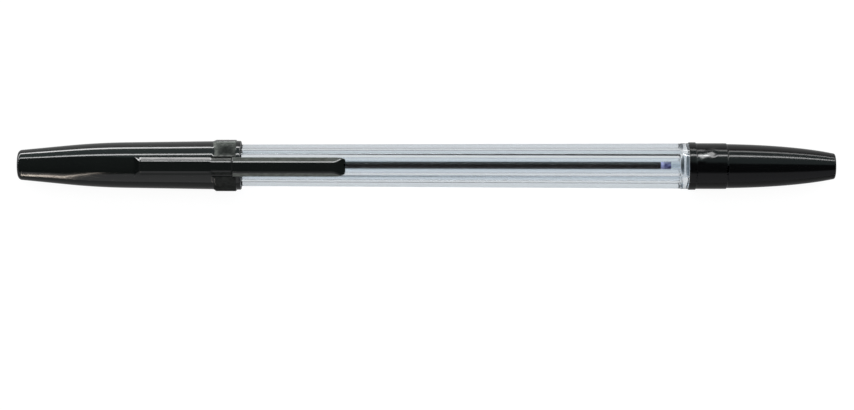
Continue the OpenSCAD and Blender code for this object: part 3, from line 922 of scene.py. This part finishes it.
def arm_rings(p):
    """The clip's free arm: its top falls over the end slope, share along it ^ 1.3, between round corners."""
    top, low = ROOT_AT.z + p.thickness / 2, ROOT_AT.z - p.thickness / 2
    slope_x = ARM_END_X - p.end_slope
    x = np.concatenate([np.linspace(ROOT_AT.x, slope_x, 60), np.linspace(slope_x, ARM_END_X, 24)[1:]])
    fall = np.clip((x - slope_x) / p.end_slope, 0, 1) ** 1.3
    into = np.clip((x - ARM_END_X + p.corner_l) / p.corner_l, 0, 1)
    rounding = 1 - np.sqrt(1 - into**2)
    further = p.near_corner_w / 2 * rounding
    half = p.arm_w / 2 - p.corner_w * rounding - further
    side = (p.arm_w - p.arm_top_w) / 2
    top_z = top - p.chamfer * fall
    chamfer_z = np.minimum(top - p.chamfer, top_z - 3 * HAIR)
    bevel_z = np.maximum(top_z - p.bevel_h, chamfer_z + HAIR)
    half_top = np.minimum(p.arm_top_w / 2 + side * fall, half - 4 * HAIR)
    half_bevel = np.minimum(half_top + p.bevel, half - 2 * HAIR)
    sides = [(half_top, top_z), (half_bevel, bevel_z), (half, chamfer_z), (half, low + 0 * x)]
    return bar_rings(x, sides, p.edge, p.arm_aside - further)


def bead_rings(p):
    """The bead across the arm's underside: half a circle that closes a little way up inside the arm."""
    sunk, end_share = 0.0002, 0.82
    half_turn = np.linspace(0, math.pi, 15)
    turn = np.concatenate([half_turn, [math.pi, 0]])
    lift = np.concatenate([0 * half_turn, [sunk, sunk]])
    across = np.linspace(-1, 1, 9)
    radius = p.bead_r * np.where(np.abs(across) == 1, end_share, 1.0)[:, None]
    return np.stack([
        ARM_END_X - p.bead_at + radius * np.cos(turn),
        p.bead_w / 2 * across[:, None] + 0 * turn,
        ROOT_AT.z - p.thickness / 2 + lift - radius * np.sin(turn),
    ], -1)


def rod_rings(start, end, radius, step, dish=0.0, dish_share=0.1):
    """A round rod, with a middle that lies dish deep at its far end."""
    edge_round, middle_share = 0.00008, 0.1
    outline = rounded([
        (start, radius * middle_share, 0), (start, radius, edge_round), (end, radius, edge_round),
        (end - dish, radius * dish_share, 0),
    ])
    return turned(filled(outline, step), full_turn(48))


# Steps, the sidebar and what starts them


class PEN_OT_barrel(bpy.types.Operator):
    """Makes the clear six-sided barrel."""

    bl_idname = "pen.barrel"
    bl_label = "Barrel"

    def execute(self, context):
        p = context.scene.pen_barrel
        finish = clear_finish(
            "clear_plastic", p.tint, ior=1.58, roughness=0.015, haze=0.03, flow=0.12,
            rubs=lambda f: ridge_rubs(f, p), lined=lambda f: 0.2 + 0.8 * on_flats(f, p),
        )
        skin("clear_barrel", barrel_rings(p), finish, "pen", ["barrel"], loop=True)
        return {"FINISHED"}


class PEN_OT_end_plug(bpy.types.Operator):
    """Makes the black end plug."""

    bl_idname = "pen.end_plug"
    bl_label = "End plug"

    def execute(self, context):
        p, barrel = context.scene.pen_plug, context.scene.pen_barrel
        # The plug's pale ring inside its mouth, going to a near white dull colour, is painted light.
        finish = black_finish(
            "black_plug", p.tint, roughness=0.13, ripple=0.3, ior=1.46,
            matt=lambda f: mouth_light_ring(f, barrel), mark=lambda f: sink_mark(f, p), dull=(0.9, 0.95, 1.0),
        )
        skin("black_end_plug", plug_rings(p, barrel), finish, "pen", ["end_plug"])
        return {"FINISHED"}


class PEN_OT_cap(bpy.types.Operator):
    """Makes the cap's shell and the clip's foot on it."""

    bl_idname = "pen.cap"
    bl_label = "Cap"

    def execute(self, context):
        p, clip = context.scene.pen_cap, context.scene.pen_clip
        finish = black_finish(
            "cap_plastic", p.tint, roughness=0.07, ripple=0.22, matt=lambda f: cap_matt_and_painted_light(f, p),
        )
        skin("cap_shell", cap_rings(p), finish, "cap_body", ["cap"])
        skin("clip_foot", foot_rings(clip, p), finish, "cap_body")
        return {"FINISHED"}


class PEN_OT_pocket_clip(bpy.types.Operator):
    """Makes the clip's free arm and the bead under its end."""

    bl_idname = "pen.pocket_clip"
    bl_label = "Pocket clip"

    def execute(self, context):
        p, cap = context.scene.pen_clip, context.scene.pen_cap
        finish = black_finish(
            "clip_plastic", cap.tint, roughness=0.12, ripple=0.25, matt=flank_matt_painted_light,
        )
        skin("clip_arm", arm_rings(p), finish, "clip_arm", ["pocket_clip"])
        skin("clip_bead", bead_rings(p), finish, "clip_arm")
        return {"FINISHED"}


class PEN_OT_refill(bpy.types.Operator):
    """Makes the ink tube, the ink in it and the grease plug behind the ink."""

    bl_idname = "pen.refill"
    bl_label = "Refill"

    def execute(self, context):
        p = context.scene.pen_refill
        edge_round, step = 0.00008, 0.002
        tube = clear_finish("clear_tube", p.tube_tint, ior=1.49, roughness=0.06, haze=0.08, flow=0.2)
        wall = [
            (TUBE_X, p.bore_r, edge_round), (TUBE_X, p.tube_r, edge_round),
            (TUBE_END_X, p.tube_r, edge_round), (TUBE_END_X, p.bore_r, edge_round),
        ]
        outline = rounded([wall[-1], *wall, wall[0]])[1:-1]
        outline = filled(np.concatenate([outline, outline[:1]]), step)[:-1]
        rings = turned(outline, full_turn(64))
        skin("ink_tube", rings, tube, "pen", ["refill_tube"], loop=True)

        ink = ink_finish("ink", p.ink_tint)
        rings = rod_rings(INK_X, INK_END_X, p.ink_r, step)
        column = skin("ink", rings, ink, "pen", ["ink_column"])
        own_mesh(column)

        stain, stain_from, stain_to = (0.03, 0.025, 0.12), INK_END_X + 0.0003, INK_END_X + 0.0009
        grease = grease_finish("grease", p.grease_tint, stain, stain_from, stain_to)
        rings = rod_rings(INK_END_X + HAIR, GREASE_END_X, p.ink_r, 0.0002, dish=0.0003, dish_share=0.3)
        skin("grease", rings, grease, "grease", ["grease_plug"])
        return {"FINISHED"}


class PEN_OT_point(bpy.types.Operator):
    """Makes the turned metal point and finishes the writing ball."""

    bl_idname = "pen.point"
    bl_label = "Point"

    def execute(self, context):
        p, barrel = context.scene.pen_point, context.scene.pen_barrel
        finish = metal_finish("point_metal", p.tint, 0.2, p.seated_painted_tint)
        small, ball_gap, socket_share, step = 0.00003, 0.000015, 0.92, 0.0002
        seat_x = NOSE_X + barrel.point_l
        socket_r = p.ball_r + ball_gap
        lip_x = BALL_AT.x - p.lip_reach
        turn = np.linspace(-math.asin(p.lip_reach / socket_r), math.asin(socket_share), 24)
        socket = arc(BALL_AT.x, 0, socket_r, turn)
        outside = rounded([
            (lip_x, socket[0, 1] + small, 0), (lip_x, p.lip_r, small),
            (BALL_AT.x + p.cone_l, p.body_r, small), (seat_x, p.body_r, small), (seat_x, p.shank_r, 0),
            (SHANK_END_X, p.shank_r, small), (SHANK_END_X, p.channel_r, 0),
            (BALL_AT.x + socket_r, p.channel_r, 0),
        ])
        rings = turned(np.concatenate([filled(outside, step), socket[::-1]]), full_turn(72))
        skin("point_housing_turned", rings, finish, "pen", ["point_housing"], loop=True)
        steel = metal_finish("ball_metal", (0.32, 0.32, 0.34), 0.08)
        ball = frame["nodes"]["writing_ball"]
        ball.data.materials.clear()
        ball.data.materials.append(steel)
        return {"FINISHED"}


def facing(at, back):
    """A placing that looks straight away from back, with X along the pen."""
    right = Vector((1, 0, 0))
    return Matrix.Translation(at) @ Matrix((right, back.cross(right), back)).transposed().to_4x4()


class PEN_OT_stage(bpy.types.Operator):
    """Makes the camera, the floor, the world and the lamps."""

    bl_idname = "pen.stage"
    bl_label = "Stage"

    def execute(self, context):
        p = context.scene.pen_stage
        middle = Vector((p.centre_x, 0, AXIS_Z))
        back = Vector((0, math.sin(p.lean), math.cos(p.lean)))
        up = Vector((0, math.cos(p.lean), -math.sin(p.lean)))
        camera = bpy.data.cameras.new("camera")
        camera.sensor_width = 36.0
        camera.lens = camera.sensor_width * p.distance / p.view_w
        camera.clip_start, camera.clip_end = 0.01, 100.0
        at = middle + back * p.distance - up * p.below
        context.scene.camera = placed("camera", camera, facing(at, back) @ Matrix.Rotation(p.roll, 4, "Z"))
        self.floor(p)
        self.world(context)
        self.lamps(middle, back, up)
        context.scene.view_settings.view_transform = "Standard"
        return {"FINISHED"}

    def floor(self, p):
        """A flat grid under the pen, white to the camera but for the pen's soft shadow.

        Gloss also shows a pale strip under the pen, and a bright band beyond it that widens to the left.
        """
        lines = 9
        side = np.linspace(-p.floor_w / 2, p.floor_w / 2, lines)
        x, y = np.meshgrid(side, side, indexing="ij")
        points = np.stack([x, y, 0 * x - 2 * HAIR], -1).reshape(-1, 3)
        faces = faces_of(lines, lines, False)
        faces = faces[(faces[:, 1] > faces[:, 0])][:, ::-1]
        mesh = bpy.data.meshes.new("floor")
        mesh.from_pydata(points.tolist(), [], faces.tolist())
        made, f = material("floor_white")
        camera, gloss, through, soft = f.rays("Camera", "Glossy", "Transmission", "Diffuse")
        tint = p.floor_tint
        fibre = f.grain(900.0, 900.0, 2.0)
        paper = f.node("ShaderNodeBsdfDiffuse", f.mixed(fibre, shaded(0.97, tint), tint))
        x, y, _ = f.axes(f.place())
        share = 0.945 - 9.1 * x
        beyond = (y * share).band(0.044, 0.06, 0.09, 0.2) * (2.2 + 7.0 * share)
        under = 0.1 + 0.25 * y.band(-0.02, 0.01, 0.02, 0.04)
        level = camera * 0.9 + through * 0.62 + soft * 0.45 + (gloss - through) * (under + beyond)
        glow = f.node("ShaderNodeEmission", (1, 1, 1, 1), level)
        f.end(f.node("ShaderNodeAddShader", paper, glow))
        mesh.materials.append(made)
        floor = placed("floor", mesh)

    def world(self, context):
        """A soft pale room with a dark opening straight above, white where the camera sees it.

        The opening is wider to the left. Gloss also shows a bright horizon on the far right side, and a warm
        lath on the near side that lies in a plane across the pen, inside a faint halo.
        """
        dark, far_room = (0.01, 0.01, 0.01), (0.33, 0.42, 0.42)
        near_left, near_right = (0.60, 0.60, 0.61), (0.33, 0.33, 0.35)
        horizon_light, halo_light, lath_light = (6.0, 6.0, 6.0), (1.5, 1.35, 1.2), (30.0, 26.5, 23.0)
        halo_reach, lath_reach = (0.0, 0.05), (0.001, 0.006)

        world = bpy.data.worlds.new("room")
        world.use_nodes = True
        context.scene.world = world
        f = Finish(world.node_tree)
        along, across, height = f.axes(f.node("ShaderNodeTexCoord", out="Generated"))
        slant = across / height.above(0.02)
        half_w = 0.62 - 2.4 * along
        far_w, near_w = half_w.above(0.27), half_w.above(0.4 + 0.28 * along.step(0.02, 0.1))
        opening = (slant / far_w).fall(0.85, 1.15) * (slant / near_w).step(-1.15, -0.85)
        opening = opening * height.step(0.1, 0.2)
        near_room = f.mixed(along.step(-0.15, 0.15), near_left, near_right)
        room = f.mixed(across.step(-0.05, 0.05), near_room, far_room)
        room = f.mixed(opening, room, dark)

        camera, gloss, through = f.rays("Camera", "Glossy", "Transmission")
        horizon = height.band(-0.03, 0.03, 0.07, 0.13) * across.step(0.2, 0.5) * along.step(0.0, 0.14)
        off_plane = (0.2745 * across - 0.9606 * along - 0.0465 * height + 0.0014).size()
        shown = across.fall(-0.64, -0.58) * (1.0 - 0.8 * height.step(0.0, 1.1))
        halo, lath = (off_plane.fall(*reach) * shown for reach in (halo_reach, lath_reach))
        for share, light in ((horizon, horizon_light), (halo, halo_light), (lath, lath_light)):
            room = f.mixed(share * (gloss - through), room, light)
        soft = f.node("ShaderNodeBackground", room, 1.0)
        white = f.node("ShaderNodeBackground", (1, 1, 1, 1), 1.0)
        f.end(f.node("ShaderNodeMixShader", camera, soft, white), "ShaderNodeOutputWorld")

    def lamps(self, middle, back, up):
        """A long strip beyond the pen and a broad fill that gloss doesn't show."""
        for name, degrees, size, power, reach, shown in (
            ("strip", 54.0, (1.4, 0.055), 2.8, 0.55, True),
            ("fill", 0.0, (1.2, 1.2), 11.3, 1.2, False),
        ):
            lamp = bpy.data.lights.new(name, "AREA")
            lamp.shape = "RECTANGLE"
            lamp.size, lamp.size_y = size
            lamp.energy = power
            turn = math.radians(degrees)
            away = back * math.cos(turn) + up * math.sin(turn)
            made = placed(name, lamp, facing(middle + away * reach, away))
            made.visible_glossy = shown
            made.visible_transmission = False


class PEN_PT_sidebar(bpy.types.Panel):
    """Lists the pen's sizes and the steps that make it."""

    bl_idname = "PEN_PT_sidebar"
    bl_label = "Pen"
    bl_space_type = "VIEW_3D"
    bl_region_type = "UI"
    bl_category = "Pen"

    def draw(self, context):
        for group, sizes, operator in STEPS:
            box = self.layout.box()
            box.operator(operator.bl_idname)
            settings = getattr(context.scene, group)
            for key in sizes.__annotations__:
                box.prop(settings, key)


STEPS = (
    ("pen_stage", PenStageSizes, PEN_OT_stage),
    ("pen_barrel", PenBarrelSizes, PEN_OT_barrel),
    ("pen_plug", PenPlugSizes, PEN_OT_end_plug),
    ("pen_cap", PenCapSizes, PEN_OT_cap),
    ("pen_clip", PenClipSizes, PEN_OT_pocket_clip),
    ("pen_refill", PenRefillSizes, PEN_OT_refill),
    ("pen_point", PenPointSizes, PEN_OT_point),
)


def register():
    for group, sizes, operator in STEPS:
        bpy.utils.register_class(sizes)
        bpy.utils.register_class(operator)
        setattr(bpy.types.Scene, group, PointerProperty(type=sizes))
    bpy.utils.register_class(PEN_PT_sidebar)


def unregister():
    bpy.utils.unregister_class(PEN_PT_sidebar)
    for group, sizes, operator in reversed(STEPS):
        delattr(bpy.types.Scene, group)
        bpy.utils.unregister_class(operator)
        bpy.utils.unregister_class(sizes)


def main():
    register()
    for _, _, operator in STEPS:
        step = getattr(bpy.ops.pen, operator.bl_idname.split(".")[1])
        if step() != {"FINISHED"}:
            raise RuntimeError(f"{operator.bl_label} didn't finish")


if __name__ == "__main__":
    main()
